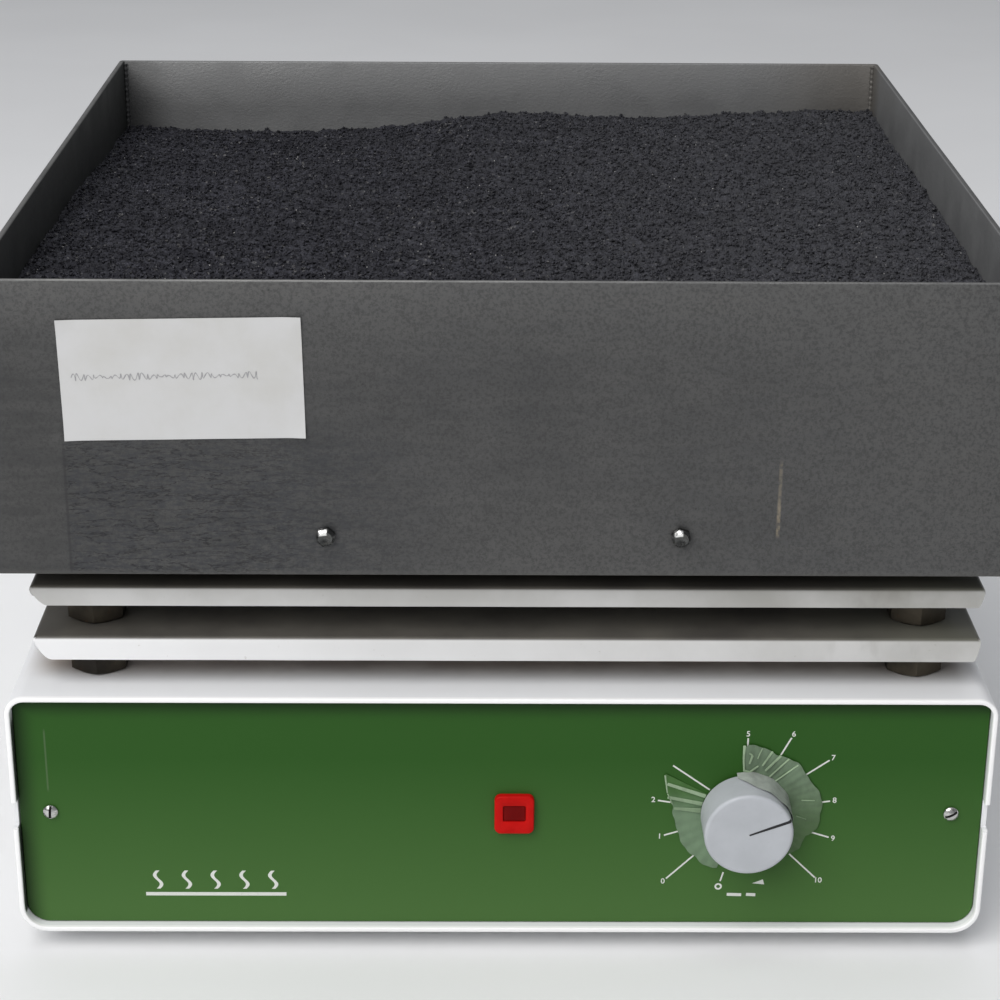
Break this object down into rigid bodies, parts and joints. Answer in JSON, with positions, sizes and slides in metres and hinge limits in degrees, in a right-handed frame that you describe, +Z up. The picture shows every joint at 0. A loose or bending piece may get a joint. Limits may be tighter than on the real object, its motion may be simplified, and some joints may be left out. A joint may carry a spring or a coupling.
{
  "type": "laboratory sand bath hotplate",
  "caption": "Bench-top sand bath: a square steel tray of black sand on a heating plate, over two heat shields and a housing with a regulator knob and a pilot lamp.",
  "frame": {"origin": "on the bench, at the centre of the object's outline seen from above", "axes": "+X to the user's right, -Y towards the user with the control panel facing -Y, +Z up"},
  "size_m": [0.454, 0.4724, 0.3303],
  "materials": {
    "white_enamel": "satin",
    "green_enamel": "satin",
    "black_sheet": "matte",
    "shield_enamel": "satin",
    "tray_steel": "satin",
    "screw_steel": "polished",
    "heated_steel": "satin",
    "cast_plate": "matte",
    "knob_plastic": "satin",
    "black_plastic": "satin",
    "red_lens": "gloss",
    "foot_rubber": "matte",
    "brass": "satin",
    "fibre_board": "matte",
    "lead_sleeve": "matte",
    "black_sand": "matte",
    "label_paper": "matte"
  },
  "bodies": {
    "stand": {"housing_sleeve": "white_enamel", "rear_panel": "white_enamel", "front_panel": "green_enamel", "base_pan": "black_sheet", "lower_shield": "shield_enamel", "upper_shield": "shield_enamel", "sand_tray": "tray_steel", "panel_screw_front_left": "screw_steel", "panel_screw_front_right": "screw_steel", "panel_screw_rear_left": "screw_steel", "panel_screw_rear_right": "screw_steel", "tray_screw_front_left": "screw_steel", "tray_screw_front_right": "screw_steel", "tray_screw_rear_left": "screw_steel", "tray_screw_rear_right": "screw_steel", "element_clamp": "screw_steel", "tie_bolt_front_left": "screw_steel", "tie_bolt_front_right": "screw_steel", "tie_bolt_rear_left": "screw_steel", "tie_bolt_rear_right": "screw_steel", "heater_pan": "heated_steel", "heating_element": "heated_steel", "lead_conduit": "heated_steel", "lower_spacer_front_left": "heated_steel", "lower_spacer_front_right": "heated_steel", "lower_spacer_rear_left": "heated_steel", "lower_spacer_rear_right": "heated_steel", "middle_spacer_front_left": "heated_steel", "middle_spacer_front_right": "heated_steel", "middle_spacer_rear_left": "heated_steel", "middle_spacer_rear_right": "heated_steel", "upper_spacer_front_left": "heated_steel", "upper_spacer_front_right": "heated_steel", "upper_spacer_rear_left": "heated_steel", "upper_spacer_rear_right": "heated_steel", "heating_plate": "cast_plate", "regulator_body": "black_plastic", "pilot_lamp_body": "black_plastic", "power_inlet": "black_plastic", "terminal_block": "black_plastic", "pilot_lamp_lens": "red_lens", "foot_front_left": "foot_rubber", "foot_front_right": "foot_rubber", "foot_rear_left": "foot_rubber", "foot_rear_right": "foot_rubber", "regulator_nut": "brass", "earth_stud": "brass", "insulation_board": "fibre_board", "mains_live_lead": "lead_sleeve", "mains_neutral_lead": "lead_sleeve", "earth_lead": "lead_sleeve", "heater_live_lead": "lead_sleeve", "heater_neutral_lead": "lead_sleeve", "lamp_lead": "lead_sleeve", "sand_fill": "black_sand", "paper_label": "label_paper"},
    "control": {"control_knob": "knob_plastic", "knob_pointer": "black_plastic", "regulator_shaft": "screw_steel", "knob_grub_screw": "screw_steel"}
  },
  "joints": [
    {"name": "knob_turn", "type": "hinge", "parent": "stand", "child": "control", "pos_m": [0.113, -0.22625, 0.072], "axis": [0, 1, 0], "range_deg": [-231, 66]}
  ]
}
